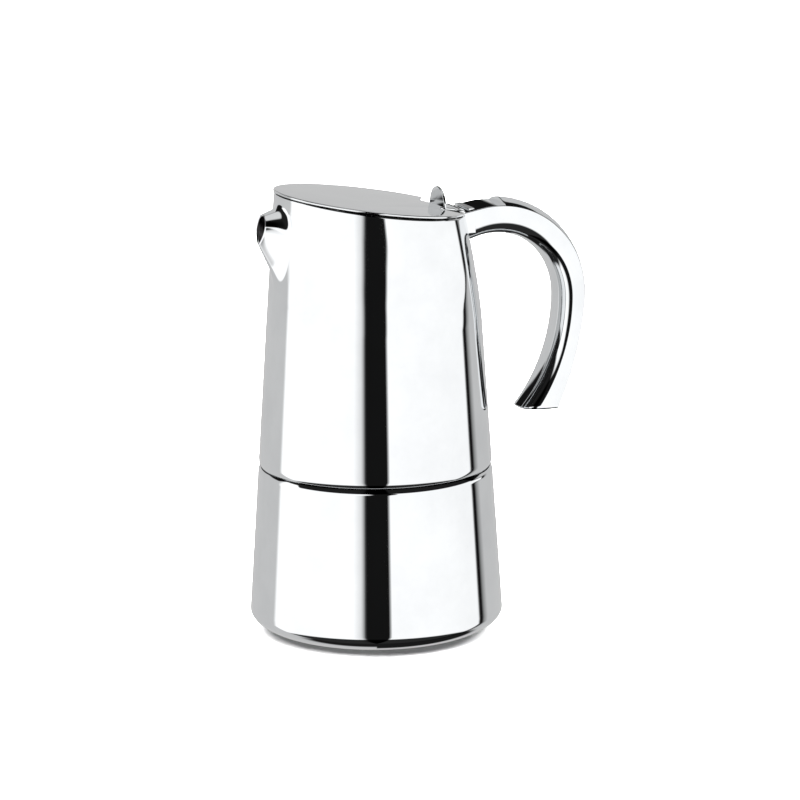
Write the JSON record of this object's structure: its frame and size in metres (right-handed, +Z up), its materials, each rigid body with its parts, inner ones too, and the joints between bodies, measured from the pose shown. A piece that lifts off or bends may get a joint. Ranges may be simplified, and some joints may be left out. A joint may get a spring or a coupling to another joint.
{
  "type": "stovetop coffee maker",
  "caption": "Stovetop moka pot in polished steel with a tapered body, slanted hinged lid, beak spout and open hook handle.",
  "frame": {"origin": "centre of the base, on the surface that the pot stands on", "axes": "+Z up along the pot's axis, +X towards the handle, -X towards the spout"},
  "size_m": [0.14, 0.1107, 0.1788],
  "materials": {
    "polished_steel": "mirror polished stainless steel",
    "lid_steel": "polished stainless steel sheet",
    "satin_steel": "satin stainless steel",
    "turned_steel": "turned stainless steel",
    "spring_steel": "drawn spring wire",
    "valve_brass": "turned brass",
    "seal_rubber": "matt silicone rubber"
  },
  "bodies": {
    "boiler": {"boiler_shell": "polished_steel", "boiler_neck": "turned_steel", "valve_boss": "turned_steel", "valve_washer": "seal_rubber", "valve_body": "valve_brass", "valve_cap": "valve_brass", "valve_spring": "spring_steel"},
    "valve": {"valve_poppet": "valve_brass"},
    "funnel": {"funnel_cup": "satin_steel", "funnel_stem": "satin_steel", "funnel_sieve": "satin_steel"},
    "filter": {"gasket": "seal_rubber", "filter_plate": "satin_steel"},
    "collector": {"collector_shell": "polished_steel", "collector_ring": "turned_steel", "collector_floor": "satin_steel", "riser_tube": "satin_steel", "riser_cap": "satin_steel", "spout": "polished_steel", "handle_channel": "polished_steel", "handle_cover": "polished_steel", "handle_deck": "polished_steel", "handle_end_cap": "polished_steel", "hinge_bracket": "polished_steel", "hinge_pin": "turned_steel"},
    "lid": {"lid_disc": "lid_steel", "lid_tongue": "lid_steel", "lid_tab": "polished_steel"}
  },
  "joints": [
    {"name": "collector_lift", "type": "slide", "parent": "boiler", "child": "filter", "axis": [0, 0, 1], "range_m": [0, 0.14]},
    {"name": "collector_turn", "type": "hinge", "parent": "filter", "child": "collector", "pos_m": [0, 0, 0], "axis": [0, 0, 1], "range_deg": [0, 450]},
    {"name": "funnel_lift", "type": "slide", "parent": "boiler", "child": "funnel", "axis": [0, 0, 1], "range_m": [0, 0.08]},
    {"name": "lid_hinge", "type": "hinge", "parent": "collector", "child": "lid", "pos_m": [0.03437, 0, 0.16629], "axis": [0, 1, 0], "range_deg": [0, 105]},
    {"name": "valve_release", "type": "slide", "parent": "boiler", "child": "valve", "axis": [0, 1, 0], "range_m": [0, 0.0015], "stiffness_N_per_m": 900, "springref_m": -0.002, "deforming": ["valve_spring"]}
  ],
  "couplings": [
    {"joint": "funnel_lift", "follows": "collector_lift", "ratio": 0.57143}
  ]
}
